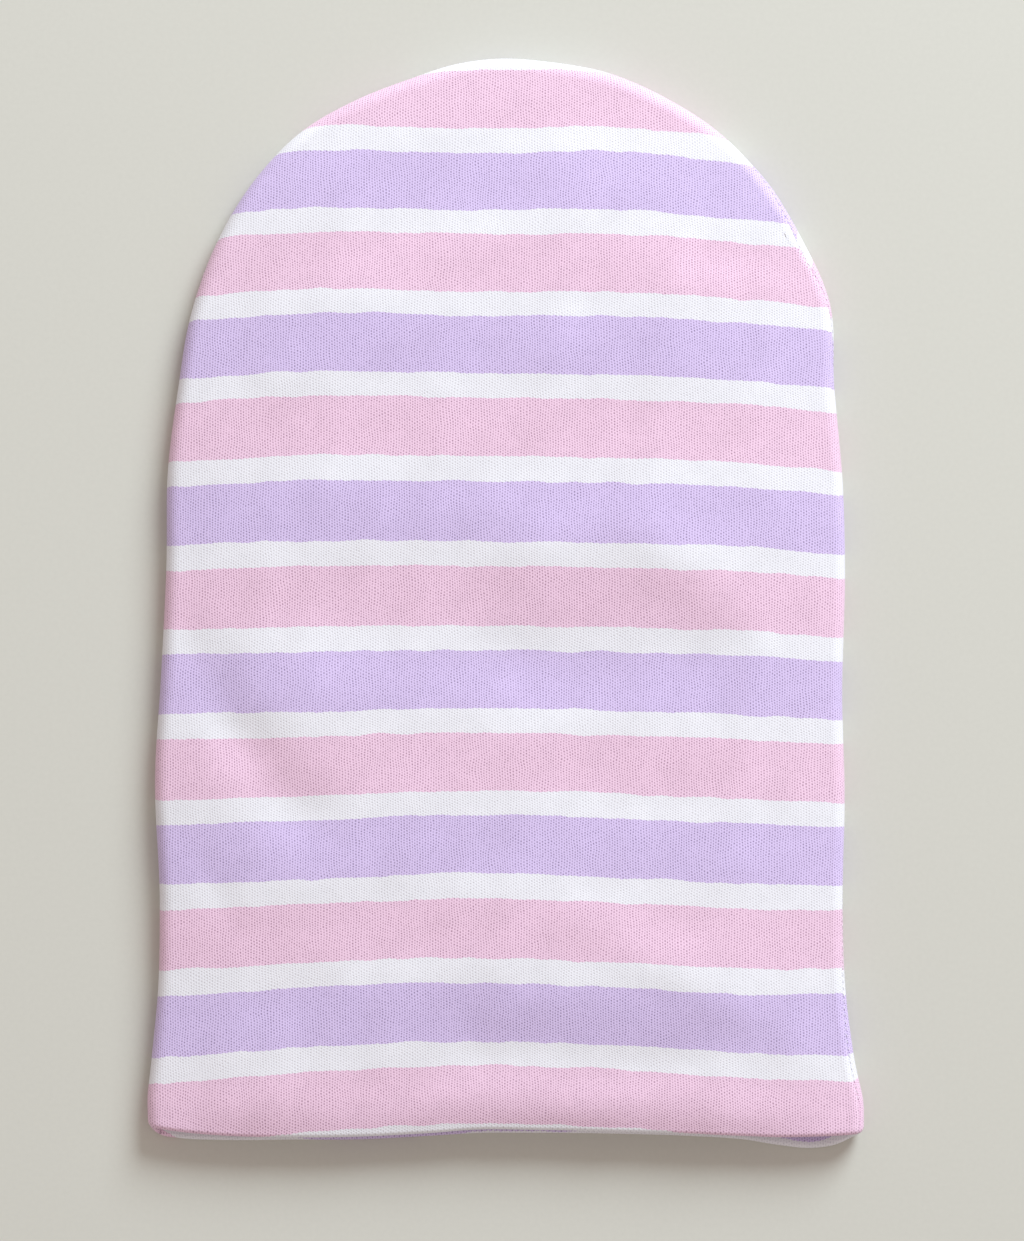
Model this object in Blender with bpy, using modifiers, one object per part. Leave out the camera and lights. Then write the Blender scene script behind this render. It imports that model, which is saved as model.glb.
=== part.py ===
"""Knitted nightcap of doubled cloth, lying flat on its back.

Each panel is one cut of cloth. Its outer ply runs from the seam down to the rim, folds inwards there and
runs back up inside as the lining. The two panels meet along a seam that follows the side edges and the
crown: on the left it is rolled under the cap, and on the right it comes up on the front.

X runs across the cap, Y from the rim towards the crown, and Z up from the surface that the back lies on.
"""
import math

import bpy
import numpy as np

# Driving sizes, in metres
LENGTH = 0.2587          # from the straight line of the rim to the top of the crown
HALF_WIDTH = 0.0859      # half of the width across the mouth
CLOTH = 0.00095          # thickness of one ply of the knit
PLY_GAP = 0.0003         # air between the outer ply and the lining
SEAM_GAP = 0.0006        # groove between the two panels along the seam
EDGE_GAP = 0.0026        # air between the two linings along the side edges
HOLLOW = 0.0053          # air between the two linings in the middle of the cap
MOUTH_HOLLOW = 0.0046    # air between the two linings in the middle of the mouth
EDGE_SLOPE = 0.042       # how far in from the edge the front has risen to its full height
MOUTH_SLOPE = 0.011      # how far up from the rim the front curves down to it
RIM_EASE = 0.026         # how far up from the rim the cloth follows the dips of the rim

# Division of a panel: across it, up it, round its side edge to the seam, and round the fold of the rim
COLUMNS = 22
ROWS = 24
EDGE_STEPS = (0.0, 0.31, 0.62, 0.92, 1.0)
FOLD_STEPS = 4
COLUMN_PULL = 0.45       # how much closer together the grid lies at the sides than in the middle
ROW_PULL = 0.45          # the same at the rim and the crown
OUTLINE_STEPS = 600      # points of the dense outline that the grid is read from

# Outline from the rim's left corner over the crown to its right corner:
# across as a share of HALF_WIDTH, height as a share of LENGTH
OUTLINE = (
    (-0.999, 0.000),
    (-1.000, 0.027),
    (-0.989, 0.071),
    (-0.970, 0.141),
    (-0.966, 0.220),
    (-0.979, 0.336),
    (-0.963, 0.424),
    (-0.947, 0.535),
    (-0.943, 0.619),
    (-0.915, 0.693),
    (-0.881, 0.760),
    (-0.803, 0.832),
    (-0.700, 0.888),
    (-0.564, 0.934),
    (-0.417, 0.962),
    (-0.270, 0.981),
    (-0.138, 0.995),
    (-0.010, 1.000),
    (0.119, 0.997),
    (0.284, 0.987),
    (0.457, 0.962),
    (0.588, 0.934),
    (0.725, 0.888),
    (0.828, 0.832),
    (0.902, 0.777),
    (0.920, 0.693),
    (0.943, 0.600),
    (0.948, 0.526),
    (0.940, 0.405),
    (0.947, 0.322),
    (0.943, 0.220),
    (0.948, 0.141),
    (0.974, 0.071),
    (0.999, 0.025),
    (1.000, 0.000),
)

# Places along the outline, as shares of its length, where a panel's grid turns from its side to its crown,
# and how far apart the grid's lines meet the outline there
LEFT_SHARE = 0.36
RIGHT_SHARE = 0.64
STEP_SHARE = 0.0012

# Rim: across as a share of HALF_WIDTH, then how far the front's and the back's rim lie above the straight
# line of the rim, as shares of LENGTH
RIM = (
    (-1.000, 0.0165, 0.0140),
    (-0.985, 0.0112, 0.0062),
    (-0.960, 0.0086, 0.0010),
    (-0.920, 0.0066, -0.0014),
    (-0.800, 0.0030, -0.0035),
    (-0.600, 0.0012, -0.0032),
    (-0.400, 0.0020, -0.0028),
    (-0.210, 0.0053, 0.0005),
    (-0.080, 0.0085, 0.0030),
    (0.080, 0.0083, 0.0032),
    (0.370, 0.0060, 0.0020),
    (0.540, 0.0044, 0.0000),
    (0.670, 0.0026, -0.0030),
    (0.765, 0.0015, -0.0080),
    (0.860, 0.0020, -0.0106),
    (0.930, 0.0028, -0.0065),
    (0.965, 0.0036, -0.0010),
    (0.985, 0.0050, 0.0022),
    (1.000, 0.0085, 0.0070),
)

# Seam: place along the outline as a share of its length, and how far up the rounded side edge the seam lies
# there, in degrees above the outline
SEAM = (
    (0.00, -70.0),
    (0.30, -65.0),
    (0.45, -45.0),
    (0.55, -20.0),
    (0.62, 20.0),
    (0.68, 50.0),
    (0.76, 40.0),
    (0.84, 15.0),
    (0.92, 20.0),
    (0.96, 45.0),
    (1.00, 45.0),
)

# Folds and dents of the front: both ends as (across, height) shares, the half width as a share of
# HALF_WIDTH, and the lift, or the depth where it is negative, as a share of HOLLOW
FOLDS = (
    (-1.01, 0.485, -0.89, 0.445, 0.08, -0.20),
    (-0.89, 0.445, -0.75, 0.37, 0.08, -0.24),
    (-0.75, 0.37, -0.58, 0.30, 0.09, -0.22),
    (0.08, 0.455, 0.52, 0.455, 0.15, -0.15),
    (0.05, 0.565, 0.50, 0.56, 0.15, 0.12),
    (-0.42, 0.47, -0.20, 0.47, 0.20, -0.12),
    (0.38, 0.56, 0.72, 0.47, 0.09, 0.10),
    (0.78, 0.47, 0.80, 0.39, 0.18, -0.10),
    (-0.03, 0.075, 0.71, 0.07, 0.12, -0.13),
    (-0.02, 0.15, 0.70, 0.145, 0.13, 0.14),
    (-0.50, 0.07, -0.24, 0.055, 0.17, -0.12),
    (0.18, 0.21, 0.76, 0.10, 0.10, 0.08),
    (0.32, 0.36, 0.46, 0.32, 0.18, -0.10),
    (-0.78, 0.81, -0.75, 0.70, 0.09, -0.12),
)

# Sizes that follow from the driving ones
PANEL = 2.0 * CLOTH + PLY_GAP
EDGE_RADIUS = PANEL + EDGE_GAP / 2.0
FOLD_RADIUS = (CLOTH + PLY_GAP) / 2.0
OUTER_DEPTH = CLOTH / 2.0
LINING_DEPTH = PANEL - CLOTH / 2.0
LOWEST_RIM = min(back for across, front, back in RIM)
MIDDLE_HEIGHT = (1.0 + LOWEST_RIM) / 2.0 * LENGTH


def through(points, places):
    """Smooth curve through rows of (place, value, ...), read at the given places."""
    rows = np.array(points, dtype=float)
    x, y = rows[:, 0], rows[:, 1:]
    slope = np.gradient(y, x, axis=0)
    i = np.clip(np.searchsorted(x, places, side="right") - 1, 0, len(x) - 2)
    step = x[i + 1] - x[i]
    t = ((np.clip(places, x[0], x[-1]) - x[i]) / step)[..., None]
    step = step[..., None]
    start = (1.0 + 2.0 * t) * (1.0 - t) ** 2 * y[i] + t * (1.0 - t) ** 2 * step * slope[i]
    end = t * t * (3.0 - 2.0 * t) * y[i + 1] - t * t * (1.0 - t) * step * slope[i + 1]
    return start + end


def outline_curve():
    """Dense outline of the cap: shares of its length, its points and its outward normals."""
    rows = np.array(OUTLINE) * (HALF_WIDTH, LENGTH)
    chords = np.concatenate([[0.0], np.cumsum(np.hypot(*np.diff(rows, axis=0).T))])
    dense = through(np.column_stack([chords, rows]), np.linspace(0.0, chords[-1], OUTLINE_STEPS))
    run = np.concatenate([[0.0], np.cumsum(np.hypot(*np.diff(dense, axis=0).T))])
    tangent = np.gradient(dense, run, axis=0)
    tangent /= np.hypot(*tangent.T)[:, None]
    normal = np.column_stack([-tangent[:, 1], tangent[:, 0]])
    return run / run[-1], dense, normal


SHARES, EDGE, NORMALS = outline_curve()


def on_curve(curve, share):
    """Values of a dense curve at the given shares of the outline's length."""
    return np.stack([np.interp(share, SHARES, column) for column in curve.T], axis=-1)


def eased(count, pull):
    """Shares from 0 to 1 that lie closer together at both ends; a pull of 0 spaces them evenly."""
    share = np.linspace(0.0, 1.0, count + 1)
    return share - pull * np.sin(2.0 * math.pi * share) / (2.0 * math.pi)


def flat_part(inner, across, up, top):
    """Points of a panel's flat part: a patch stretched between its two sides, the crown and the rim, where
    the crown pulls it away from the straight line between the shoulders by a share that grows upwards."""
    left = on_curve(inner, LEFT_SHARE * up)[None, :, :]
    right = on_curve(inner, 1.0 - (1.0 - RIGHT_SHARE) * up)[None, :, :]
    crown = on_curve(inner, top)[:, None, :]
    a, u = across[:, None, None], up[None, :, None]
    shoulder = left[:, -1:] * (1.0 - a) + right[:, -1:] * a
    return left * (1.0 - a) + right * a + (crown - shoulder) * u


def plan():
    """Grid of a panel's plan: its points inside the rounded edge, how far round that edge each one lies
    (0 on the flat of the panel, 1 at the seam), its outward normal there and its share of the outline."""
    steps = len(EDGE_STEPS) - 1
    inner = EDGE - NORMALS * EDGE_RADIUS
    across = eased(COLUMNS, COLUMN_PULL)
    up = eased(ROWS, ROW_PULL)
    top = LEFT_SHARE + (RIGHT_SHARE - LEFT_SHARE) * across
    body = flat_part(inner, across, up, top)

    column = np.arange(-steps, COLUMNS + steps + 1)[:, None]
    row = np.arange(ROWS + steps + 1)[None, :]
    out_left = np.maximum(-column, 0)
    out_right = np.maximum(column - COLUMNS, 0)
    out_top = np.maximum(row - ROWS, 0)
    ring = np.maximum(np.maximum(out_left, out_right), out_top)
    column_in = np.clip(column, 0, COLUMNS)
    row_in = np.clip(row, 0, ROWS)

    on_left = LEFT_SHARE * up[row_in]
    on_right = 1.0 - (1.0 - RIGHT_SHARE) * up[row_in]
    share = np.where(column < COLUMNS / 2, on_left, on_right)
    share = np.where((row >= ROWS) & (column > 0) & (column < COLUMNS), top[column_in], share)
    step = np.where(row >= ROWS, STEP_SHARE, 0.0)
    share = share + np.where(column <= 0, step * (out_top - out_left), 0.0)
    share = share - np.where(column >= COLUMNS, step * (out_top - out_right), 0.0)

    points = np.where((ring > 0)[..., None], on_curve(inner, share), body[column_in, row_in])
    return points, np.array(EDGE_STEPS)[ring], on_curve(NORMALS, share), share


def edge_distance(points):
    """Distance from each point to the inner line of the rounded edge, which runs on past the rim."""
    line = EDGE - NORMALS * EDGE_RADIUS
    line = np.concatenate([line[:1] - (0.0, LENGTH), line, line[-1:] - (0.0, LENGTH)])
    a, b = line[:-1], line[1:]
    run = b - a
    share = ((points[..., None, :] - a) * run).sum(-1) / (run * run).sum(-1)
    nearest = a + np.clip(share, 0.0, 1.0)[..., None] * run
    return np.hypot(*np.moveaxis(points[..., None, :] - nearest, -1, 0)).min(-1)


def puff(points):
    """How far the front rises over its edge: steepest at the edge, it curves down again to the rim, and takes
    the folds."""
    s = np.clip(edge_distance(points) / EDGE_SLOPE, 0.0, 1.0)
    rise = 1.0 - (1.0 - s) ** 2
    full = HOLLOW - (HOLLOW - MOUTH_HOLLOW) * np.clip(1.0 - points[..., 1] / MOUTH_SLOPE, 0.0, 1.0) ** 2
    lift = np.zeros(points.shape[:-1])
    for x1, y1, x2, y2, width, height in FOLDS:
        start = np.array((x1 * HALF_WIDTH, y1 * LENGTH))
        run = np.array((x2 * HALF_WIDTH, y2 * LENGTH)) - start
        t = np.clip(((points - start) * run).sum(-1) / (run @ run), 0.0, 1.0)
        away = np.hypot(*np.moveaxis(points - start - t[..., None] * run, -1, 0))
        lift += height * HOLLOW * np.exp(-(away / (width * HALF_WIDTH)) ** 2)
    return rise * (full - EDGE_GAP + lift)


def rim_line(across, angle):
    """How far the rim lies above its straight line. Round the side edge it runs from the front's line to the
    back's as the edge turns down, by (1 + sin(angle)) / 2, so that both panels meet at the seam."""
    lines = through(RIM, across / HALF_WIDTH) * LENGTH
    share = (1.0 + np.sin(angle)) / 2.0
    return lines[..., 0] * share + lines[..., 1] * (1.0 - share)


def panel(name, is_front, colour, collection):
    """One panel: its grid is placed once for every row of the path that runs down the outer ply, round the
    fold of the rim and back up the lining, and Solidify gives that sheet the thickness of the cloth."""
    points, round_edge, normal, share = plan()
    lift = puff(points) if is_front else np.zeros(points.shape[:-1])
    lift = np.where(round_edge > 0.0, 0.0, lift)
    seam = through(SEAM, share)[..., 0]
    side = 1.0 if is_front else -1.0
    rows = points.shape[1]
    fold = [math.pi * k / FOLD_STEPS for k in range(1, FOLD_STEPS)]
    path = [(row, OUTER_DEPTH, 0.0) for row in reversed(range(rows))]
    path += [(0, OUTER_DEPTH + FOLD_RADIUS * (1.0 - math.cos(a)), FOLD_RADIUS * math.sin(a)) for a in fold]
    path += [(row, LINING_DEPTH, 0.0) for row in range(rows)]
    sheet = []
    for row, depth, below in path:
        radius = EDGE_RADIUS - depth
        seam_angle = np.radians(seam[:, row]) + side * SEAM_GAP / 2.0 / radius
        angle = side * math.pi / 2.0 + (seam_angle - side * math.pi / 2.0) * round_edge[:, row]
        out = radius * np.cos(angle)
        across = points[:, row, 0] + normal[:, row, 0] * out
        height = points[:, row, 1] + normal[:, row, 1] * out
        ease = np.clip(1.0 - height / RIM_EASE, 0.0, 1.0) ** 2
        height = height + (rim_line(across, angle) + PANEL / 2.0) * ease - below
        up = EDGE_RADIUS + lift[:, row] + radius * np.sin(angle)
        sheet.append(np.stack([across, height - MIDDLE_HEIGHT, up], axis=-1))
    sheet = np.array(sheet)
    count, width = sheet.shape[:2]
    k = np.arange(count * width).reshape(count, width)
    quads = np.stack([k[:-1, :-1], k[:-1, 1:], k[1:, 1:], k[1:, :-1]], axis=-1).reshape(-1, 4)
    if is_front:
        quads = quads[:, ::-1]
    mesh = bpy.data.meshes.new(name)
    mesh.from_pydata(sheet.reshape(-1, 3).tolist(), [], quads.tolist())
    mesh.shade_smooth()
    mesh.materials.append(cloth_material(name + "_knit", colour))
    piece = bpy.data.objects.new(name, mesh)
    collection.objects.link(piece)
    wall = piece.modifiers.new("cloth thickness", "SOLIDIFY")
    wall.thickness = CLOTH
    wall.offset = 0.0
    wall.use_even_offset = True
    return piece


def cloth_material(name, colour):
    """Matt cotton knit."""
    material = bpy.data.materials.new(name)
    material.use_nodes = True
    shader = material.node_tree.nodes["Principled BSDF"]
    shader.inputs["Base Color"].default_value = (*colour, 1.0)
    shader.inputs["Roughness"].default_value = 0.9
    shader.inputs["Metallic"].default_value = 0.0
    return material


def main():
    for item in list(bpy.data.objects):
        bpy.data.objects.remove(item, do_unlink=True)
    collection = bpy.data.collections.new("nightcap")
    bpy.context.scene.collection.children.link(collection)
    panel("front_panel", True, (0.80, 0.62, 0.74), collection)
    panel("back_panel", False, (0.68, 0.60, 0.80), collection)


main()
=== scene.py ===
"""Striped nightcap of doubled interlock knit, lying flat on its back on a pale floor.

The cap is two cuts of cloth, a front and a back. Each runs from the seam down to the rim, folds inwards there
and runs back up inside as the lining. X runs across the cap, Y from the rim to the crown, and Z up.
"""

import math

import bpy
import numpy as np
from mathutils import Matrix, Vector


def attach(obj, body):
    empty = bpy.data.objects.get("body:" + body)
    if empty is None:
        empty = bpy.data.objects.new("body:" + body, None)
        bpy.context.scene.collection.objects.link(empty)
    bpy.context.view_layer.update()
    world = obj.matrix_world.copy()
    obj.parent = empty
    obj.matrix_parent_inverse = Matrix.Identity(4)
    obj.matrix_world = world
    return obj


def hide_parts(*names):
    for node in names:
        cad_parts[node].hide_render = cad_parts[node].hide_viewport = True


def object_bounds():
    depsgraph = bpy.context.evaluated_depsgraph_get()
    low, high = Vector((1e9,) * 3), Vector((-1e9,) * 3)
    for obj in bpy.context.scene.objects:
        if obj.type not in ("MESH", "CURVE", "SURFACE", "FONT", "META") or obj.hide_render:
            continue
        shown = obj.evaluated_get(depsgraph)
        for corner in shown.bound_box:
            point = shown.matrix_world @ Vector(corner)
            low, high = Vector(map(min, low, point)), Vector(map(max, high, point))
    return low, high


bl_info = {
    "name": "Striped nightcap",
    "version": (1, 0, 0),
    "blender": (4, 5, 0),
    "location": "View3D > Sidebar > Nightcap",
    "description": "Builds a striped knitted nightcap lying on a pale floor",
    "category": "Add Mesh",
}

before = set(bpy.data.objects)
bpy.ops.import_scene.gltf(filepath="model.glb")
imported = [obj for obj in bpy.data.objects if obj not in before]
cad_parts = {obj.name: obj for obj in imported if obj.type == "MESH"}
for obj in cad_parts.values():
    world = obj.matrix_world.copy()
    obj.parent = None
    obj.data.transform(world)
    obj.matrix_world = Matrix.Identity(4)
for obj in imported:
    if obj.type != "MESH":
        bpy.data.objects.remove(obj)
CAD_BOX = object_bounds()

# Outline from the rim's left corner over the crown to its right corner:
# across as a share of the half width, height as a share of the length
OUTLINE = (
    (-0.999, 0.000), (-1.000, 0.027), (-0.989, 0.071), (-0.970, 0.141), (-0.966, 0.220),
    (-0.979, 0.336), (-0.963, 0.424), (-0.947, 0.535), (-0.943, 0.619), (-0.915, 0.693),
    (-0.881, 0.760), (-0.803, 0.832), (-0.700, 0.888), (-0.564, 0.934), (-0.417, 0.962),
    (-0.270, 0.981), (-0.138, 0.995), (-0.010, 1.000), (0.119, 0.997), (0.284, 0.987),
    (0.457, 0.962), (0.588, 0.934), (0.725, 0.888), (0.828, 0.832), (0.902, 0.777),
    (0.920, 0.693), (0.943, 0.600), (0.948, 0.526), (0.940, 0.405), (0.947, 0.322),
    (0.943, 0.220), (0.948, 0.141), (0.974, 0.071), (0.999, 0.025), (1.000, 0.000),
)

# Places along the outline where a panel's grid turns from its side to its crown, as shares of its length
LEFT_SHOULDER = 0.36
RIGHT_SHOULDER = 0.64

# Rim: across as a share of the half width, then how far the front's and the back's rim lie above the
# straight line of the rim, as shares of the length
RIM = (
    (-1.000, 0.0165, 0.0140),
    (-0.985, 0.0112, 0.0062),
    (-0.960, 0.0086, 0.0010),
    (-0.920, 0.0066, -0.0014),
    (-0.800, 0.0030, -0.0035),
    (-0.600, 0.0012, -0.0032),
    (-0.400, 0.0020, -0.0028),
    (-0.210, 0.0053, 0.0005),
    (-0.080, 0.0085, 0.0030),
    (0.080, 0.0083, 0.0032),
    (0.370, 0.0060, 0.0020),
    (0.540, 0.0044, 0.0000),
    (0.670, 0.0026, -0.0030),
    (0.765, 0.0015, -0.0080),
    (0.860, 0.0020, -0.0106),
    (0.930, 0.0028, -0.0065),
    (0.965, 0.0036, -0.0010),
    (0.985, 0.0050, 0.0022),
    (1.000, 0.0085, 0.0070),
)
LOWEST_RIM = min(back for across, front, back in RIM)

# Seam: place along the outline as a share of its length, and how many degrees above the outline the seam
# lies on the rounded side edge
SEAM = (
    (0.00, -70.0),
    (0.30, -65.0),
    (0.45, -45.0),
    (0.55, -20.0),
    (0.60, 5.0),
    (0.63, 40.0),
    (0.65, 58.0),
    (0.67, 30.0),
    (0.70, 5.0),
    (0.74, -5.0),
    (0.88, -5.0),
    (0.93, 20.0),
    (0.96, 45.0),
    (1.00, 45.0),
)

# Folds and dents of the front: both ends as (across, height) shares, the half width as a share of the cap's
# half width, and the lift, or the depth where it is negative, as a share of the hollow
FOLDS = (
    (-1.01, 0.485, -0.89, 0.445, 0.08, -0.28),
    (-0.89, 0.445, -0.75, 0.37, 0.08, -0.25),
    (-0.75, 0.37, -0.58, 0.30, 0.09, -0.20),
    (0.08, 0.440, 0.52, 0.440, 0.14, -0.24),
    (0.05, 0.550, 0.50, 0.545, 0.15, 0.12),
    (-0.42, 0.47, -0.20, 0.47, 0.20, -0.20),
    (0.38, 0.56, 0.72, 0.47, 0.09, 0.08),
    (0.78, 0.47, 0.80, 0.39, 0.18, -0.10),
    (-0.03, 0.075, 0.71, 0.07, 0.12, -0.17),
    (-0.02, 0.15, 0.70, 0.145, 0.13, 0.12),
    (-0.50, 0.07, -0.24, 0.055, 0.17, -0.16),
    (0.18, 0.21, 0.76, 0.10, 0.08, 0.09),
    (0.32, 0.36, 0.46, 0.32, 0.18, -0.11),
    (-0.78, 0.81, -0.75, 0.70, 0.09, -0.12),
    (-0.90, 0.28, -0.75, 0.195, 0.05, -0.09),
    (0.02, 0.22, 0.19, 0.14, 0.14, 0.09),
    (0.88, 0.49, 0.89, 0.40, 0.05, 0.08),
    (-0.36, 0.85, -0.15, 0.885, 0.16, -0.10),
    (-0.12, 0.87, 0.18, 0.92, 0.16, -0.08),
    (0.50, 0.79, 0.77, 0.785, 0.06, 0.06),
    (-0.40, 0.965, 0.40, 0.965, 0.22, -0.13),
    (0.40, 0.965, 0.88, 0.79, 0.18, -0.13),
    (-0.80, -0.02, 0.72, -0.02, 0.10, -0.23),
)

# Droop of the stripes under straight lines, in metres: one row for each height, a share of the length, and
# in it one value for each place across, a share of the half width
FRONT_ACROSS = (-0.96, -0.55, -0.10, 0.35, 0.68, 0.93)
FRONT_DROOP = (
    (0.00, 0.0042, 0.0008, -0.0014, -0.0002, 0.0022, 0.0034),
    (0.16, 0.0024, 0.0003, -0.0008, 0.0004, 0.0018, 0.0020),
    (0.27, 0.0018, 0.0006, -0.0011, 0.0002, 0.0013, 0.0020),
    (0.40, 0.0012, 0.0004, -0.0003, 0.0003, 0.0013, 0.0026),
    (0.70, 0.0011, -0.0008, -0.0004, 0.0001, 0.0015, 0.0034),
    (0.90, 0.0030, 0.0003, 0.0011, 0.0009, 0.0037, 0.0054),
)
BACK_ACROSS = (-0.97, -0.55, 0.00, 0.54, 0.80, 0.98)
BACK_DROOP = (
    (0.00, 0.0037, -0.0024, -0.0038, -0.0021, 0.0006, 0.0010),
    (0.15, 0.0024, 0.0000, -0.0008, 0.0000, 0.0018, 0.0024),
    (0.50, 0.0012, 0.0000, 0.0000, 0.0004, 0.0014, 0.0028),
    (0.80, 0.0020, 0.0000, 0.0000, 0.0008, 0.0035, 0.0072),
)

# Stripes in courses of stitches, from the first course of a repeat upwards
STRIPES = (("pink", 21), ("white", 9), ("lilac", 21), ("white", 9))
REPEAT_COURSES = sum(count for colour, count in STRIPES)

# Division of a cut of cloth: across, up, round the side edge and round the fold of the rim. The lining takes
# one row in LINING_SKIP, and the two pulls bring the grid's lines closer together at its ends
ACROSS_STEPS = 168
UP_STEPS = 168
EDGE_STEPS = 9
FOLD_STEPS = 10
LINING_SKIP = 3
ACROSS_PULL = 0.45
UP_PULL = 0.35

# Rings of the grid fan out at a shoulder: each slides along the outline by this share of it, and the slide
# fades with the distance from the shoulder, by this power
SHOULDER_SHIFT = 0.0006
SHOULDER_FADE = 6

# Places on the dense outline, the step between those that distances are measured to, and how far the line of
# these runs on past the rim, in metres
OUTLINE_STEPS = 700
OUTLINE_SKIP = 5
PAST_RIM = 0.2

# Small unevenness of the front: the shortest and the longest wave in metres, their number, the usual size of
# their sum, the seed of their directions, and where it has come up in full, as a share of the edge slope
SHORTEST_WAVE = 0.012
LONGEST_WAVE = 0.045
WAVES = 14
WAVE_SUM = 2.6
WAVE_SEED = 4
WAVES_IN = 0.4

# Place round the side edge, as a share of it, from which the cloth turns in to the seam
TUCK_START = 0.7

# Stitches of the seam: their first and last place as shares of the outline, their slant as a share of the
# pitch, the height of their arch and the depth of their ends in threads, their depth in the groove as a share
# of the tuck, and the points along a stitch and round its thread
FIRST_STITCH = 0.015
LAST_STITCH = 0.985
STITCH_SLANT = 0.35
STITCH_ARCH = 1.1
STITCH_SUNK = 0.6
STITCH_DEPTH = 0.55
STITCH_POINTS = 7
THREAD_SIDES = 6

# Fineness of the noise, in waves to the metre
WANDER_SCALE = 140.0
PATCH_SCALE = 160.0
FIBRE_SCALE = 4500.0
THREAD_SCALE = 3000.0
FLOOR_SCALE = 900.0


def length_setting(name, description, default):
    """A length in metres for a property group."""
    return bpy.props.FloatProperty(name=name, description=description, default=default, min=0.0,
                                   precision=5, subtype="DISTANCE", unit="LENGTH")


def share_setting(name, description, default):
    """A plain share or strength for a property group."""
    return bpy.props.FloatProperty(name=name, description=description, default=default)


def colour_setting(name, description, default):
    """A linear colour for a property group."""
    return bpy.props.FloatVectorProperty(name=name, description=description, default=default, size=3,
                                         subtype="COLOR", min=0.0, max=1.0)


class NightcapSizes(bpy.types.PropertyGroup):
    """Sizes of the cap, as the solids have them."""
    length: length_setting("Length", "From the straight line of the rim to the top of the crown",
                           (CAD_BOX[1][1] - CAD_BOX[0][1]) / (1.0 - LOWEST_RIM))
    half_width: length_setting("Half width", "Half of the width across the mouth", 0.0859)
    cloth: length_setting("Cloth", "Thickness of one ply of the knit", 0.00095)
    ply_gap: length_setting("Ply gap", "Air between the outer ply and the lining", 0.0003)
    seam_gap: length_setting("Seam gap", "Groove between the two cuts along the seam", 0.00018)
    seam_tuck: length_setting("Seam tuck", "How deep the cloth turns in at the seam", 0.00050)
    edge_gap: length_setting("Edge gap", "Air between the linings along the side edges", 0.0026)
    hollow: length_setting("Hollow", "Air between the linings in the middle of the cap", 0.0053)
    mouth: length_setting("Mouth", "Air between the linings in the middle of the mouth", 0.0046)
    edge_slope: length_setting("Edge slope", "How far in the front has risen to its full height", 0.042)
    mouth_slope: length_setting("Mouth slope", "How far up from the rim the front curves down to it", 0.011)
    rim_ease: length_setting("Rim ease", "How far up the cloth follows the dips of the rim", 0.026)
    ripple: length_setting("Ripple", "Height of the small unevenness of the knit", 0.00016)


class NightcapKnit(bpy.types.PropertyGroup):
    """Look of the knit."""
    repeat: length_setting("Stripe repeat", "Height of pink, white, lilac and white together", 0.0400)
    start: length_setting("Stripe start", "Height of the lowest pink stripe's lower edge", 0.00264)
    wale: length_setting("Wale", "Width of one column of stitches", 0.000636)
    pink: colour_setting("Pink", "Colour of the pink yarn", (0.88, 0.617, 0.792))
    lilac: colour_setting("Lilac", "Colour of the lilac yarn", (0.705, 0.575, 0.88))
    white: colour_setting("White", "Colour of the white yarn", (0.84, 0.83, 0.895))
    # The three pit colours are painted shade: each yarn's colour darkened where shade falls into the pits
    # between the stitches
    pink_pit_shade: colour_setting("Pink pit", "Colour between the stitches of the pink yarn",
                             (0.35, 0.185, 0.295))
    lilac_pit_shade: colour_setting("Lilac pit", "Colour between the stitches of the lilac yarn",
                              (0.24, 0.175, 0.34))
    white_pit_shade: colour_setting("White pit", "Colour between the stitches of the white yarn",
                              (0.64, 0.63, 0.69))
    gap_width: share_setting("Gap width", "How far a gap reaches into a wale, in wales", 0.44)
    line: share_setting("Line", "Depth of the gap between two pits, as a share of a pit's", 0.04)
    pit_change: share_setting("Pit change", "How much single pits differ in depth", 0.45)
    patch_change: share_setting("Patch change", "How much wide patches differ in lightness", 0.12)
    fibre_change: share_setting("Fibre change", "How much single fibres differ in lightness", 0.16)
    wander: share_setting("Wander", "How far wales and courses wander, in stitches", 2.4)
    relief: length_setting("Relief", "Depth of the stitches", 0.00012)
    roughness: share_setting("Roughness", "Roughness of the cotton", 0.85)
    sheen: share_setting("Sheen", "Strength of the soft halo of the fibres", 0.25)


class NightcapStitching(bpy.types.PropertyGroup):
    """Thread of the seam."""
    pitch: length_setting("Pitch", "Distance between two stitches of the seam", 0.0016)
    thread: length_setting("Thread", "Thickness of the thread", 0.00014)
    span: length_setting("Span", "How wide a stitch bridges the seam", 0.0008)
    colour: colour_setting("Colour", "Colour of the thread", (0.90, 0.89, 0.93))


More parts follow.
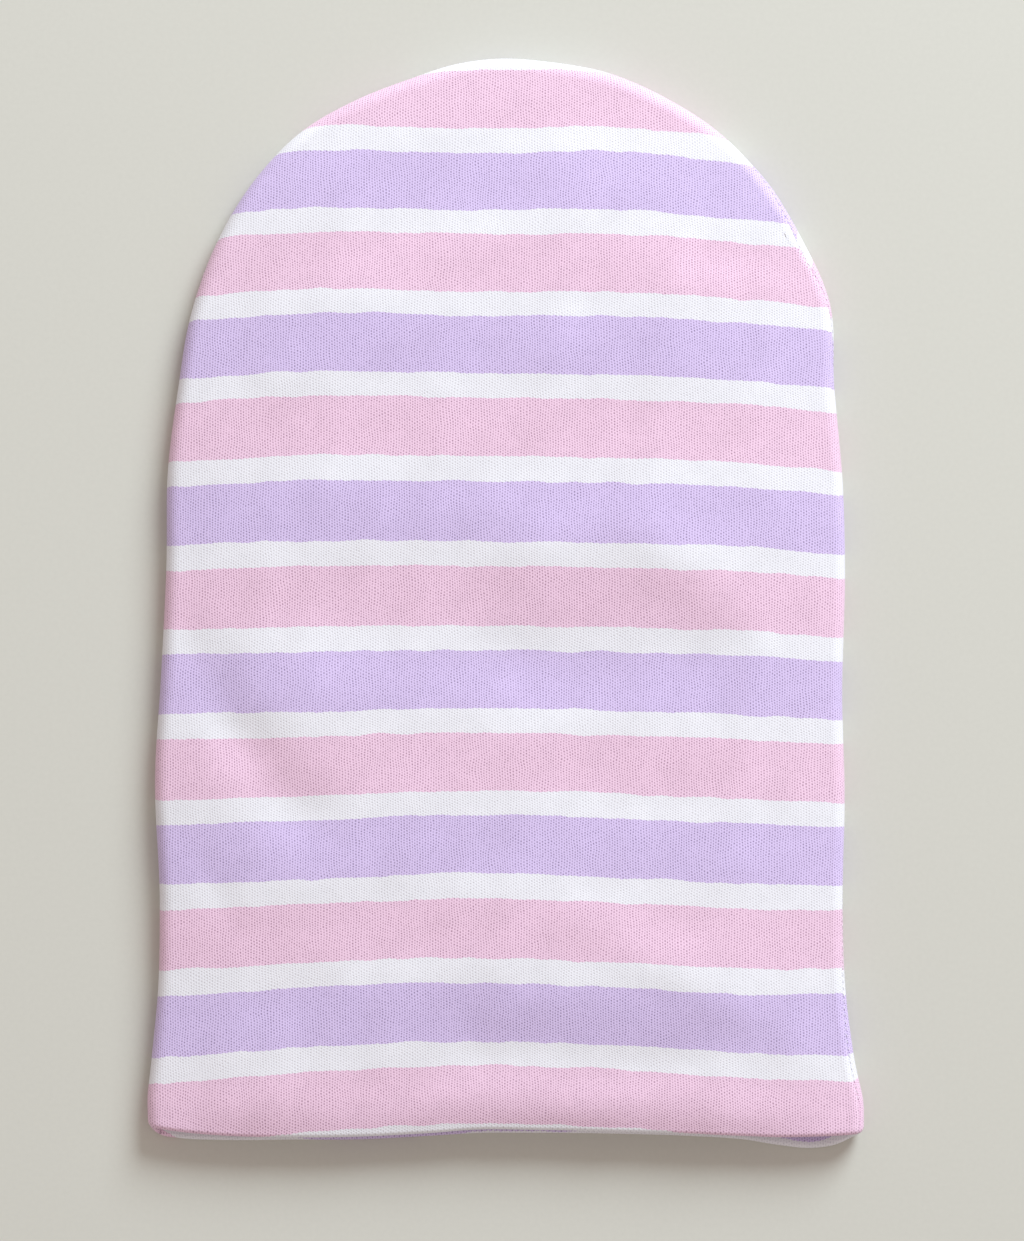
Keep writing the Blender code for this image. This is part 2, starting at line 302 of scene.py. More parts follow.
class NightcapStage(bpy.types.PropertyGroup):
    """Floor, light and camera."""
    floor: colour_setting("Floor", "Colour of the floor", (0.625, 0.615, 0.565))
    floor_size: length_setting("Floor size", "Width of the floor", 6.0)
    camera_height: length_setting("Camera height", "Height of the camera over the floor", 1.2)
    view_height: length_setting("View height", "Height of the picture at the cap's edge", 0.2978)
    view_right: share_setting("View right", "Metres from the cap's middle to the view's, rightwards", 0.0015)
    view_up: share_setting("View up", "Metres from the cap's middle to the view's, to the crown", -0.0040)
    edge_level: length_setting("Edge level", "Height over the floor of the cap's widest line", 0.0027)
    sensor: share_setting("Sensor", "Height of the camera's sensor in millimetres", 24.0)
    key: bpy.props.FloatProperty(name="Key", description="Power of the main light", default=67.0,
                                 subtype="POWER", unit="POWER")
    key_size: length_setting("Key size", "Width of the main light", 1.2)
    key_place: bpy.props.FloatVectorProperty(name="Key place", description="Where the main light is",
                                             default=(0.98, 1.74, 1.12), size=3, subtype="TRANSLATION",
                                             unit="LENGTH")
    key_colour: colour_setting("Key colour", "Colour of the main light", (0.85, 0.95, 1.0))
    sky_colour: colour_setting("Sky colour", "Colour of the even light", (1.0, 0.895, 0.83))
    sky: share_setting("Sky", "Strength of the even light all round", 0.54)


def through(points, places):
    """Smooth curve through rows of (place, value, ...): between two rows it is the cubic that has their
    values and the slopes that each row has between its neighbours."""
    rows = np.array(points, dtype=float)
    x, y = rows[:, 0], rows[:, 1:]
    slope = np.gradient(y, x, axis=0)
    i = np.clip(np.searchsorted(x, places, side="right") - 1, 0, len(x) - 2)
    step = x[i + 1] - x[i]
    t = ((np.clip(places, x[0], x[-1]) - x[i]) / step)[..., None]
    step = step[..., None]
    start = (1.0 + 2.0 * t) * (1.0 - t) ** 2 * y[i] + t * (1.0 - t) ** 2 * step * slope[i]
    end = t * t * (3.0 - 2.0 * t) * y[i + 1] - t * t * (1.0 - t) * step * slope[i + 1]
    return start + end


def eased(count, pull):
    """Shares from 0 to 1, a sine closer together at both ends than an even count."""
    share = np.linspace(0.0, 1.0, count + 1)
    return share - pull * np.sin(2.0 * math.pi * share) / (2.0 * math.pi)


class Outline:
    """Dense outline of the cap and what is read from it."""

    def __init__(self, size):
        rows = np.array(OUTLINE) * (size.half_width, size.length)
        chords = np.concatenate([[0.0], np.cumsum(np.hypot(*np.diff(rows, axis=0).T))])
        places = np.linspace(0.0, chords[-1], OUTLINE_STEPS)
        self.edge = through(np.column_stack([chords, rows]), places)
        run = np.concatenate([[0.0], np.cumsum(np.hypot(*np.diff(self.edge, axis=0).T))])
        tangent = np.gradient(self.edge, run, axis=0)
        tangent /= np.hypot(*tangent.T)[:, None]
        self.normal = np.column_stack([-tangent[:, 1], tangent[:, 0]])
        self.length = run[-1]
        self.shares = run / run[-1]
        self.panel = 2.0 * size.cloth + size.ply_gap
        self.radius = self.panel + size.edge_gap / 2.0
        self.inner = self.edge - self.normal * self.radius
        self.middle_height = (1.0 + LOWEST_RIM) / 2.0 * size.length

    def at(self, curve, share):
        """Values of one of the outline's curves at the given shares of its length."""
        return np.stack([np.interp(share, self.shares, column) for column in curve.T], axis=-1)

    def distance(self, points):
        """Distance from each point to the inner line of the rounded edge, which runs on past the rim."""
        line = self.inner[::OUTLINE_SKIP]
        first, last = line[:1], self.inner[-1:]
        line = np.concatenate([first - (0.0, PAST_RIM), line, last, last - (0.0, PAST_RIM)])
        a, run = line[:-1], np.diff(line, axis=0)
        found = np.empty(points.shape[:-1])
        for k, row in enumerate(points):
            share = ((row[:, None, :] - a) * run).sum(-1) / (run * run).sum(-1)
            nearest = a + np.clip(share, 0.0, 1.0)[..., None] * run
            found[k] = np.hypot(*np.moveaxis(row[:, None, :] - nearest, -1, 0)).min(-1)
        return found


def cloth_plan(outline):
    """Grid of a cut's plan: the flat part is a patch stretched between the two sides, the crown and the rim,
    and rings round it run over the rounded edge to the seam. Gives the grid's points inside the edge, how
    far round the edge each lies, its outward normal there and its share of the outline."""
    across = eased(ACROSS_STEPS, ACROSS_PULL)
    up = eased(UP_STEPS, UP_PULL)
    top = LEFT_SHOULDER + (RIGHT_SHOULDER - LEFT_SHOULDER) * across
    left = outline.at(outline.inner, LEFT_SHOULDER * up)[None, :, :]
    right = outline.at(outline.inner, 1.0 - (1.0 - RIGHT_SHOULDER) * up)[None, :, :]
    crown = outline.at(outline.inner, top)[:, None, :]
    a, u = across[:, None, None], up[None, :, None]
    shoulder = left[:, -1:] * (1.0 - a) + right[:, -1:] * a
    body = left * (1.0 - a) + right * a + (crown - shoulder) * u

    column = np.arange(-EDGE_STEPS, ACROSS_STEPS + EDGE_STEPS + 1)[:, None]
    row = np.arange(UP_STEPS + EDGE_STEPS + 1)[None, :]
    out_left = np.maximum(-column, 0)
    out_right = np.maximum(column - ACROSS_STEPS, 0)
    out_top = np.maximum(row - UP_STEPS, 0)
    ring = np.maximum(np.maximum(out_left, out_right), out_top)
    column_in = np.clip(column, 0, ACROSS_STEPS)
    row_in = np.clip(row, 0, UP_STEPS)
    near_shoulder = up[row_in] ** SHOULDER_FADE
    near_left = (1.0 - across[column_in]) ** SHOULDER_FADE
    near_right = across[column_in] ** SHOULDER_FADE
    on_left = LEFT_SHOULDER * up[row_in] + SHOULDER_SHIFT * (out_top - out_left) * near_shoulder
    on_right = 1.0 - (1.0 - RIGHT_SHOULDER) * up[row_in]
    on_right = on_right - SHOULDER_SHIFT * (out_top - out_right) * near_shoulder
    on_top = top[column_in] + SHOULDER_SHIFT * out_top * (near_left - near_right)
    share = np.where(column < ACROSS_STEPS / 2, on_left, on_right)
    share = np.where((row >= UP_STEPS) & (column > 0) & (column < ACROSS_STEPS), on_top, share)
    points = np.where((ring > 0)[..., None], outline.at(outline.inner, share), body[column_in, row_in])
    return points, ring / EDGE_STEPS, outline.at(outline.normal, share), share


def front_lift(size, outline, points):
    """How far the front rises over its edge. It opens from the edge by 1 - (1-s)^2, curves down to the rim by
    (1-y/slope)^2, and takes the folds, each a ridge or dent with the profile exp(-(distance/width)^2)."""
    s = np.clip(outline.distance(points) / size.edge_slope, 0.0, 1.0)
    rise = 1.0 - (1.0 - s) ** 2
    to_rim = np.clip(1.0 - points[..., 1] / size.mouth_slope, 0.0, 1.0)
    full = size.hollow - (size.hollow - size.mouth) * to_rim ** 2
    lift = np.zeros(points.shape[:-1])
    for x1, y1, x2, y2, width, height in FOLDS:
        start = np.array((x1 * size.half_width, y1 * size.length))
        run = np.array((x2 * size.half_width, y2 * size.length)) - start
        t = np.clip(((points - start) * run).sum(-1) / (run @ run), 0.0, 1.0)
        away = np.hypot(*np.moveaxis(points - start - t[..., None] * run, -1, 0))
        lift += height * size.hollow * np.exp(-(away / (width * size.half_width)) ** 2)
    return rise * (full - size.edge_gap + lift)


def ripple(points, height, seed):
    """Small unevenness: a sum of sine waves of random direction and many lengths, the long ones higher."""
    draw = np.random.default_rng(seed)
    waves = np.zeros(points.shape[:-1])
    for wave_length in np.geomspace(SHORTEST_WAVE, LONGEST_WAVE, WAVES):
        turn, phase = draw.uniform(0.0, math.pi), draw.uniform(0.0, 2.0 * math.pi)
        along = points[..., 0] * math.cos(turn) + points[..., 1] * math.sin(turn)
        waves += math.sqrt(wave_length / LONGEST_WAVE) * np.sin(2.0 * math.pi * along / wave_length + phase)
    return height * waves / WAVE_SUM


def droop(columns, table, size, points):
    """How far the stripes hang below straight lines: the table's rows are read at the point's height with
    the smooth curve, and the row that this gives is read at its place across in the same way."""
    row = through(table, np.clip(points[..., 1] / size.length, table[0][0], table[-1][0]))
    x = np.array(columns)
    slope = np.gradient(row, x, axis=-1)
    place = np.clip(points[..., 0] / size.half_width, x[0], x[-1])
    i = np.clip(np.searchsorted(x, place, side="right") - 1, 0, len(x) - 2)
    step = x[i + 1] - x[i]
    t = (place - x[i]) / step

    def pick(values, k):
        return np.take_along_axis(values, k[..., None], axis=-1)[..., 0]

    start = (1.0 + 2.0 * t) * (1.0 - t) ** 2 * pick(row, i) + t * (1.0 - t) ** 2 * step * pick(slope, i)
    end = t * t * (3.0 - 2.0 * t) * pick(row, i + 1) - t * t * (1.0 - t) * step * pick(slope, i + 1)
    return start + end


def rim_line(size, across, angle):
    """Height of the rim over its straight line: the front's and the back's line from the table, blended by
    (1 + sin(angle)) / 2 round the side edge, so that the two meet at the seam."""
    lines = through(RIM, across / size.half_width) * size.length
    share = (1.0 + np.sin(angle)) / 2.0
    return lines[..., 0] * share + lines[..., 1] * (1.0 - share)


def cut_of_cloth(size, knit, is_front):
    """Middle surface of one cut of cloth: its grid of points, and for each the cloth's own coordinates,
    which are the place across the wales and the place along them in metres."""
    outline = Outline(size)
    points, round_edge, normal, share = cloth_plan(outline)
    side = 1.0 if is_front else -1.0
    lift = np.zeros(points.shape[:-1])
    if is_front:
        lift = front_lift(size, outline, points)
        inward = np.clip(outline.distance(points) / (WAVES_IN * size.edge_slope), 0.0, 1.0)
        lift += ripple(points, size.ripple, WAVE_SEED) * inward
        lift = np.where(round_edge > 0.0, 0.0, lift)
    seam = through(SEAM, share)[..., 0]
    columns, table = (FRONT_ACROSS, FRONT_DROOP) if is_front else (BACK_ACROSS, BACK_DROOP)

    fold_radius = (size.cloth + size.ply_gap) / 2.0
    outer_depth = size.cloth / 2.0
    lining_depth = outline.panel - size.cloth / 2.0
    rows = points.shape[1]
    down = np.arange(rows)[::-1]
    turn = np.pi * np.arange(1, FOLD_STEPS) / FOLD_STEPS
    back_up = np.unique(np.concatenate([np.arange(0, UP_STEPS, LINING_SKIP), np.arange(UP_STEPS, rows)]))
    row = np.concatenate([down, np.zeros(len(turn), int), back_up])
    depth = np.concatenate([np.full(len(down), outer_depth),
                            outer_depth + fold_radius * (1.0 - np.cos(turn)),
                            np.full(len(back_up), lining_depth)])
    below = np.concatenate([np.zeros(len(down)), fold_radius * np.sin(turn), np.zeros(len(back_up))])
    past = np.concatenate([np.zeros(len(down)), fold_radius * turn,
                           np.full(len(back_up), np.pi * fold_radius)])
    inside = np.concatenate([np.zeros(len(down)), (1.0 - np.cos(turn)) / 2.0, np.ones(len(back_up))])
    depth, below, past, inside = (values[None, :] for values in (depth, below, past, inside))

    edge_share = round_edge[:, row]
    tuck = size.seam_tuck * np.clip((edge_share - TUCK_START) / (1.0 - TUCK_START), 0.0, 1.0) ** 2
    depth = depth + tuck * (1.0 - inside)
    radius = outline.radius - depth
    seam_angle = np.radians(seam[:, row]) + side * size.seam_gap / 2.0 / radius
    angle = side * math.pi / 2.0 + (seam_angle - side * math.pi / 2.0) * edge_share
    out = radius * np.cos(angle)
    across = points[:, row, 0] + normal[:, row, 0] * out
    height = points[:, row, 1] + normal[:, row, 1] * out
    rim_rise = rim_line(size, across, angle)
    ease = np.clip(1.0 - height / size.rim_ease, 0.0, 1.0) ** 2
    placed = height + (rim_rise + outline.panel / 2.0) * ease
    up = outline.radius + lift[:, row] + radius * np.sin(angle)
    grid = np.stack([across, placed - below - outline.middle_height, up], axis=-1)

    arc = outline.radius * (math.pi / 2.0 - side * angle)
    flat = points[:, row] + normal[:, row] * arc[..., None]
    flat_up = flat[..., 1] + (placed - height)
    drooped = droop(columns, table, size, np.stack([flat[..., 0], flat_up], axis=-1))
    rim_course = rim_rise + outline.panel / 2.0
    course = np.where(inside < 1.0, flat_up, 2.0 * rim_course - flat_up) + drooped - past
    return grid, np.stack([flat[..., 0], course], axis=-1)


def grid_mesh(name, grid, cloth, flip):
    """Mesh of a grid of points, with the cloth's own coordinates as its UV map."""
    count, width = grid.shape[:2]
    k = np.arange(count * width).reshape(count, width)
    quads = np.stack([k[:-1, :-1], k[1:, :-1], k[1:, 1:], k[:-1, 1:]], axis=-1).reshape(-1, 4)
    if flip:
        quads = quads[:, ::-1]
    mesh = bpy.data.meshes.new(name)
    mesh.vertices.add(count * width)
    mesh.vertices.foreach_set("co", grid.reshape(-1).astype(np.float32))
    mesh.loops.add(quads.size)
    mesh.loops.foreach_set("vertex_index", quads.reshape(-1).astype(np.int32))
    mesh.polygons.add(len(quads))
    mesh.polygons.foreach_set("loop_start", np.arange(0, quads.size, 4, dtype=np.int32))
    mesh.update(calc_edges=True)
    if cloth is not None:
        layer = mesh.uv_layers.new(name="cloth")
        layer.data.foreach_set("uv", cloth.reshape(-1, 2)[quads.reshape(-1)].reshape(-1).astype(np.float32))
    mesh.shade_smooth()
    piece = bpy.data.objects.new(name, mesh)
    bpy.context.scene.collection.objects.link(piece)
    return piece


class Graph:
    """Adds shader nodes to a material and links them."""

    def __init__(self, name):
        self.material = bpy.data.materials.new(name)
        self.material.use_nodes = True
        self.tree = self.material.node_tree
        self.shader = self.tree.nodes["Principled BSDF"]

    def add(self, kind, inputs=(), **settings):
        """A node of the given kind, its settings, and its inputs by name or number."""
        node = self.tree.nodes.new(kind)
        for key, value in settings.items():
            setattr(node, key, value)
        for key, value in dict(inputs).items():
            self.feed(node.inputs[key], value)
        return node

    def feed(self, socket, value):
        """Links an output to a socket, or sets the socket to a number or colour."""
        if isinstance(value, bpy.types.NodeSocket):
            self.tree.links.new(value, socket)
        else:
            socket.default_value = value

    def math(self, operation, a, b=0.0, c=0.0):
        """One Math node."""
        return self.add("ShaderNodeMath", {0: a, 1: b, 2: c}, operation=operation).outputs[0]

    def blend(self, share, a, b, mode="MIX"):
        """One colour Mix node."""
        node = self.add("ShaderNodeMix", data_type="RGBA", blend_type=mode)
        self.feed(node.inputs[0], share)
        self.feed(node.inputs[6], a)
        self.feed(node.inputs[7], b)
        return node.outputs[2]

    def blend_number(self, share, a, b):
        """One number Mix node."""
        return self.add("ShaderNodeMix", {0: share, 2: a, 3: b}, data_type="FLOAT").outputs[0]

    def set(self, **values):
        """Sets the shader's own sockets."""
        for key, value in values.items():
            self.shader.inputs[key.replace("_", " ")].default_value = value


def knit_pits(graph, wale, course, knit):
    """Interlock face, from places counted in wales and in courses. The wales are ridges side by side. In the
    gap between two of them lies one pit for each course, half a course higher in every other gap:
    depth = gap (line + (1 - line) pit), where the gap falls off smoothly to the ridges on both sides, the
    pit is (1 + cos(2 pi course)) / 2, and pits differ a little in depth. Gives that depth, from 0 to 1."""
    index = graph.math("FLOOR", graph.math("ADD", wale, 0.5))
    away = graph.math("ABSOLUTE", graph.math("SUBTRACT", wale, index))
    gap = graph.add("ShaderNodeMapRange", {0: away, 1: 0.0, 2: knit.gap_width, 3: 1.0, 4: 0.0},
                    interpolation_type="SMOOTHSTEP").outputs[0]
    level = graph.math("ADD", course, graph.math("FRACT", graph.math("MULTIPLY", index, 0.5)))
    pit = graph.math("COSINE", graph.math("MULTIPLY", level, 2.0 * math.pi))
    pit = graph.math("MULTIPLY_ADD", pit, 0.5, 0.5)
    count = graph.math("FLOOR", graph.math("ADD", level, 0.5))
    where = graph.add("ShaderNodeCombineXYZ", {0: index, 1: count}).outputs[0]
    single = graph.add("ShaderNodeTexWhiteNoise", {"Vector": where}, noise_dimensions="2D").outputs[0]
    share = graph.math("MULTIPLY_ADD", single, knit.pit_change, 1.0 - knit.pit_change)
    pit = graph.math("MULTIPLY", pit, share)
    return graph.math("MULTIPLY", gap, graph.math("MULTIPLY_ADD", pit, 1.0 - knit.line, knit.line))


def stripe_ramp(graph, turn, colours):
    """Colours of one repeat of the stripes, read at a share of the repeat."""
    ramp = graph.add("ShaderNodeValToRGB", {0: turn})
    ramp.color_ramp.interpolation = "CONSTANT"
    stops = ramp.color_ramp.elements
    first = 0.0
    for k, (colour, count) in enumerate(STRIPES):
        stop = stops[k] if k < 2 else stops.new(first / REPEAT_COURSES)
        stop.position = first / REPEAT_COURSES
        stop.color = (*colours[colour], 1.0)
        first += count
    return ramp.outputs[0]


def knit_material(name, knit):
    """Striped cotton knit on the cloth's own coordinates: stripes by course, painted shade in the pits
    between the stitches, wide patches and fibres that vary a little in lightness, and the relief of the
    stitches as bump."""
    graph = Graph(name)
    place = graph.add("ShaderNodeUVMap", uv_map="cloth").outputs[0]
    axes = graph.add("ShaderNodeSeparateXYZ", {0: place})
    course_height = knit.repeat / REPEAT_COURSES
    wander = graph.add("ShaderNodeTexNoise", {"Vector": place, "Scale": WANDER_SCALE, "Detail": 3.0})
    sway = graph.add("ShaderNodeSeparateXYZ", {0: wander.outputs[1]})
    wale = graph.math("MULTIPLY_ADD", axes.outputs[0], 1.0 / knit.wale,
                      graph.math("MULTIPLY", sway.outputs[0], knit.wander))
    course = graph.math("MULTIPLY_ADD", axes.outputs[1], 1.0 / course_height,
                        graph.math("MULTIPLY", sway.outputs[1], knit.wander))
    depth = knit_pits(graph, wale, course, knit)

    stagger = graph.math("FRACT", graph.math("MULTIPLY", graph.math("FLOOR", wale), 0.5))
    stitch = graph.math("SUBTRACT", graph.math("FLOOR", graph.math("ADD", course, stagger)), stagger)
    row = graph.blend_number(0.25, course, graph.math("ADD", stitch, 0.5))
    row = graph.math("SUBTRACT", row, knit.start / course_height + 0.5 * knit.wander)
    turn = graph.math("FRACT", graph.math("DIVIDE", row, REPEAT_COURSES))
    yarn = stripe_ramp(graph, turn, {"pink": knit.pink, "lilac": knit.lilac, "white": knit.white})
    # Painted shade: the deeper a pit between the stitches, the more the yarn's colour turns to its darker pit
    # copy
    pit_shade_colours = {"pink": knit.pink_pit_shade, "lilac": knit.lilac_pit_shade, "white": knit.white_pit_shade}
    shaded = graph.blend(depth, yarn, stripe_ramp(graph, turn, pit_shade_colours))

    patch = graph.add("ShaderNodeTexNoise", {"Vector": place, "Scale": PATCH_SCALE, "Detail": 3.0}).outputs[0]
    fibre = graph.add("ShaderNodeTexNoise", {"Vector": place, "Scale": FIBRE_SCALE, "Detail": 3.0}).outputs[0]
    patches = graph.math("MULTIPLY_ADD", patch, knit.patch_change, 1.0 - knit.patch_change / 2.0)
    fibres = graph.math("MULTIPLY_ADD", fibre, knit.fibre_change, 1.0 - knit.fibre_change / 2.0)
    tone = graph.math("MULTIPLY", patches, fibres)
    tinted = graph.add("ShaderNodeVectorMath", {0: shaded, "Scale": tone}, operation="SCALE").outputs[0]
    graph.feed(graph.shader.inputs["Base Color"], tinted)
    relief = graph.math("MULTIPLY_ADD", fibre, 0.3, graph.math("SUBTRACT", 1.0, depth))
    bump = graph.add("ShaderNodeBump", {"Height": relief, "Distance": knit.relief, "Strength": 0.6})
    graph.feed(graph.shader.inputs["Normal"], bump.outputs[0])
    graph.set(Roughness=knit.roughness, Metallic=0.0, Sheen_Weight=knit.sheen, Sheen_Roughness=0.45,
              Specular_IOR_Level=0.25)
    return graph.material


def cloth_piece(name, node, slot, is_front):
    """One finished cut of cloth: its middle surface gets the cloth's thickness and stands for its solid."""
    size, knit = bpy.context.scene.nightcap_sizes, bpy.context.scene.nightcap_knit
    grid, cloth = cut_of_cloth(size, knit, is_front)
    piece = grid_mesh(name, grid, cloth, flip=not is_front)
    wall = piece.modifiers.new("cloth thickness", "SOLIDIFY")
    wall.thickness = size.cloth
    wall.offset = 0.0
    piece.data.materials.append(knit_material(slot, knit))
    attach(piece, "root")
    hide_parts(node)
    return piece


def seam_line(size, outline, shares):
    """Points on the seam, in the groove between the two cuts, with the directions across the seam, along
    it and out of the cap."""
    angle = np.radians(through(SEAM, shares)[..., 0])
    normal = outline.at(outline.normal, shares)
    inner = outline.at(outline.inner, shares)
    radius = outline.radius - STITCH_DEPTH * size.seam_tuck
    flat = inner + normal * (radius * np.cos(angle))[:, None]
    rim_rise = rim_line(size, flat[:, 0], angle)
    ease = np.clip(1.0 - flat[:, 1] / size.rim_ease, 0.0, 1.0) ** 2
    flat[:, 1] += (rim_rise + outline.panel / 2.0) * ease - outline.middle_height
    place = np.column_stack([flat, outline.radius + radius * np.sin(angle)])
    out = np.column_stack([normal * np.cos(angle)[:, None], np.sin(angle)])
    along = np.gradient(place, axis=0)
    along /= np.linalg.norm(along, axis=1)[:, None]
    across = np.cross(out, along)
    return place, across, along, out


def seam_stitches():
    """Thread of the seam: small slanted stitches that bridge the groove. Each is a tube carried along an arch
    whose height over the cloth is 1 - t^2, t running from -1 to 1 across the seam, with its ends sunk in."""
    size, stitching = bpy.context.scene.nightcap_sizes, bpy.context.scene.nightcap_stitching
    outline = Outline(size)
    count = int(outline.length * (LAST_STITCH - FIRST_STITCH) / stitching.pitch)
    shares = np.linspace(FIRST_STITCH, LAST_STITCH, count)
    place, across, along, out = seam_line(size, outline, shares)
    t = np.linspace(-1.0, 1.0, STITCH_POINTS)[None, :, None]
    turn = 2.0 * math.pi * np.arange(THREAD_SIDES) / THREAD_SIDES
    slant = STITCH_SLANT * stitching.pitch
    arch = stitching.thread * (STITCH_ARCH * (1.0 - t * t) - STITCH_SUNK)
    path = place[:, None, :] + across[:, None, :] * (t * stitching.span / 2.0)
    path = path + along[:, None, :] * (t * slant) + out[:, None, :] * arch
    run = across * stitching.span / 2.0 + along * slant
    run /= np.linalg.norm(run, axis=1)[:, None]
    side = np.cross(out, run)
    ring = (np.cos(turn)[:, None] * side[:, None, None, :] + np.sin(turn)[:, None] * out[:, None, None, :])
    tube = path[:, :, None, :] + ring * stitching.thread / 2.0
    per_stitch = tube.shape[1] * tube.shape[2]
    k = np.arange(per_stitch).reshape(tube.shape[1], tube.shape[2])
    after = np.roll(k, -1, axis=1)
    quads = np.stack([k[:-1], k[1:], after[1:], after[:-1]], axis=-1).reshape(-1, 4)
    ends = np.array([k[0], k[-1][::-1]])
    shift = per_stitch * np.arange(count)[:, None, None]
    faces = (quads[None] + shift).reshape(-1, 4).tolist()
    faces += (ends[None] + shift).reshape(-1, THREAD_SIDES).tolist()
    mesh = bpy.data.meshes.new("seam_stitches")
    mesh.from_pydata(tube.reshape(-1, 3).tolist(), [], faces)
    mesh.shade_smooth()
    piece = bpy.data.objects.new("seam_stitches", mesh)
    bpy.context.scene.collection.objects.link(piece)
    graph = Graph("seam_thread")
    place = graph.add("ShaderNodeTexCoord").outputs["Object"]
    noise = graph.add("ShaderNodeTexNoise", {"Vector": place, "Scale": THREAD_SCALE, "Detail": 2.0})
    noise = noise.outputs[0]
    tone = graph.math("MULTIPLY_ADD", noise, 0.3, 0.8)
    colour = graph.add("ShaderNodeVectorMath", {0: tuple(stitching.colour)}, operation="SCALE")
    graph.feed(colour.inputs["Scale"], tone)
    graph.feed(graph.shader.inputs["Base Color"], colour.outputs[0])
    bump = graph.add("ShaderNodeBump", {"Height": noise, "Distance": 0.00004, "Strength": 0.6})
    graph.feed(graph.shader.inputs["Normal"], bump.outputs[0])
    graph.set(Roughness=0.6, Sheen_Weight=0.2)
    mesh.materials.append(graph.material)
    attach(piece, "root")
    return piece


def stage():
    """Pale floor, soft light from the upper right, even light all round, and the camera straight above."""
    look = bpy.context.scene.nightcap_stage
    bpy.context.scene.view_settings.view_transform = "Standard"
    half = look.floor_size / 2.0
    corners = np.array([[[-half, -half, 0.0], [half, -half, 0.0]], [[-half, half, 0.0], [half, half, 0.0]]])
    floor = grid_mesh("floor", corners, None, flip=True)
    graph = Graph("floor_board")
    place = graph.add("ShaderNodeTexCoord").outputs["Object"]
    fine = graph.add("ShaderNodeTexNoise", {"Vector": place, "Scale": FLOOR_SCALE, "Detail": 3.0}).outputs[0]
    tone = graph.math("MULTIPLY_ADD", fine, 0.06, 0.97)
    colour = graph.add("ShaderNodeVectorMath", {0: tuple(look.floor)}, operation="SCALE")
    graph.feed(colour.inputs["Scale"], tone)
    graph.feed(graph.shader.inputs["Base Color"], colour.outputs[0])
    graph.set(Roughness=0.6)
    floor.data.materials.append(graph.material)

    world = bpy.context.scene.world or bpy.data.worlds.new("even_light")
    bpy.context.scene.world = world
    world.use_nodes = True
    world.node_tree.nodes["Background"].inputs["Color"].default_value = (*look.sky_colour, 1.0)
    world.node_tree.nodes["Background"].inputs["Strength"].default_value = look.sky

    light = bpy.data.lights.new("key_light", "AREA")
    light.shape = "DISK"
    light.size = look.key_size
    light.energy = look.key
    light.color = look.key_colour
    lamp = bpy.data.objects.new("key_light", light)
    lamp.location = look.key_place
    lamp.rotation_euler = (-lamp.location).to_track_quat("-Z", "Y").to_euler()
    bpy.context.scene.collection.objects.link(lamp)

    data = bpy.data.cameras.new("camera")
    data.sensor_fit = "VERTICAL"
    data.sensor_height = look.sensor
    data.lens = look.sensor * (look.camera_height - look.edge_level) / look.view_height
    camera = bpy.data.objects.new("camera", data)
    camera.location = (look.view_right, look.view_up, look.camera_height)
    bpy.context.scene.collection.objects.link(camera)
    bpy.context.scene.camera = camera


class NIGHTCAP_OT_front_cloth(bpy.types.Operator):
    """Makes the front: its outer ply, the fold of the rim and the front half of the lining."""
    bl_idname = "nightcap.front_cloth"
    bl_label = "Front cloth"

    def execute(self, context):
        cloth_piece("front_cloth", "front_panel", "front_knit", True)
        return {"FINISHED"}


class NIGHTCAP_OT_back_cloth(bpy.types.Operator):
    """Makes the back: its outer ply, the fold of the rim and the back half of the lining."""
    bl_idname = "nightcap.back_cloth"
    bl_label = "Back cloth"

    def execute(self, context):
        cloth_piece("back_cloth", "back_panel", "back_knit", False)
        return {"FINISHED"}


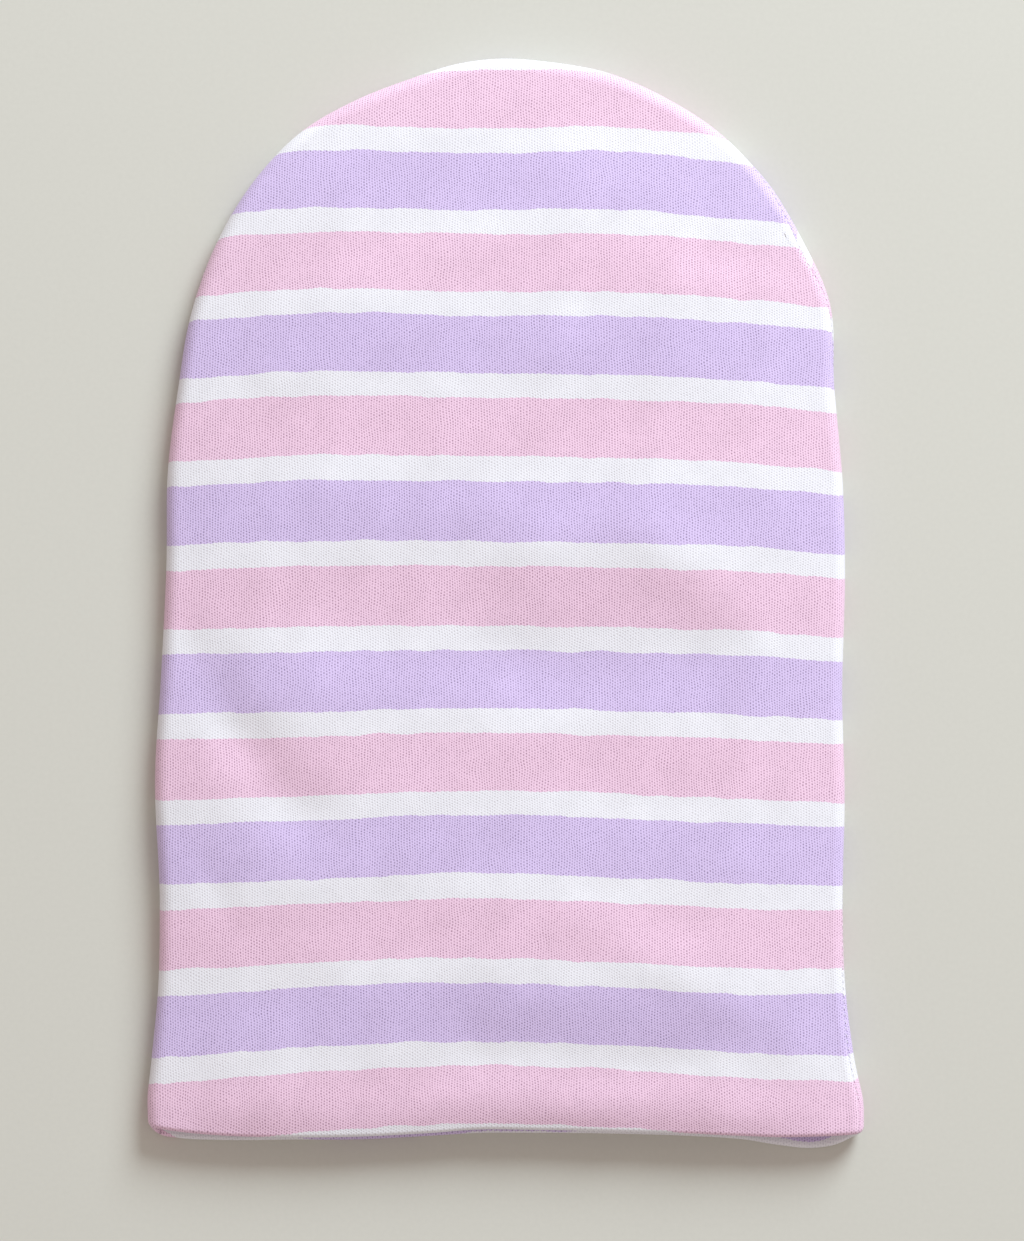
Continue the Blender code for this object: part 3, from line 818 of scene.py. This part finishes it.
class NIGHTCAP_OT_seam_stitches(bpy.types.Operator):
    """Makes the thread that joins the two cuts along the seam."""
    bl_idname = "nightcap.seam_stitches"
    bl_label = "Seam stitches"

    def execute(self, context):
        seam_stitches()
        return {"FINISHED"}


class NIGHTCAP_OT_stage(bpy.types.Operator):
    """Makes the floor, the light and the camera."""
    bl_idname = "nightcap.stage"
    bl_label = "Stage"

    def execute(self, context):
        stage()
        return {"FINISHED"}


class NIGHTCAP_PT_sidebar(bpy.types.Panel):
    """Sizes and looks of the nightcap, and a button for each piece."""
    bl_idname = "NIGHTCAP_PT_sidebar"
    bl_label = "Nightcap"
    bl_space_type = "VIEW_3D"
    bl_region_type = "UI"
    bl_category = "Nightcap"

    def draw(self, context):
        for owner in SETTINGS:
            group = getattr(context.scene, owner)
            box = self.layout.box()
            for setting in group.bl_rna.properties:
                if setting.identifier not in ("rna_type", "name"):
                    box.prop(group, setting.identifier)
        for operator in OPERATORS:
            self.layout.operator(operator.bl_idname)


SETTINGS = {
    "nightcap_sizes": NightcapSizes,
    "nightcap_knit": NightcapKnit,
    "nightcap_stitching": NightcapStitching,
    "nightcap_stage": NightcapStage,
}
OPERATORS = (
    NIGHTCAP_OT_back_cloth,
    NIGHTCAP_OT_front_cloth,
    NIGHTCAP_OT_seam_stitches,
    NIGHTCAP_OT_stage,
)


def register():
    """Adds the settings, the operators and the panel."""
    for owner, group in SETTINGS.items():
        bpy.utils.register_class(group)
        setattr(bpy.types.Scene, owner, bpy.props.PointerProperty(type=group))
    for operator in OPERATORS:
        bpy.utils.register_class(operator)
    bpy.utils.register_class(NIGHTCAP_PT_sidebar)


def unregister():
    """Takes the panel, the operators and the settings away again."""
    bpy.utils.unregister_class(NIGHTCAP_PT_sidebar)
    for operator in reversed(OPERATORS):
        bpy.utils.unregister_class(operator)
    for owner, group in SETTINGS.items():
        delattr(bpy.types.Scene, owner)
        bpy.utils.unregister_class(group)


def main():
    """Builds the pieces and the stage."""
    register()
    bpy.ops.nightcap.back_cloth()
    bpy.ops.nightcap.front_cloth()
    bpy.ops.nightcap.seam_stitches()
    bpy.ops.nightcap.stage()


if __name__ == "__main__":
    main()
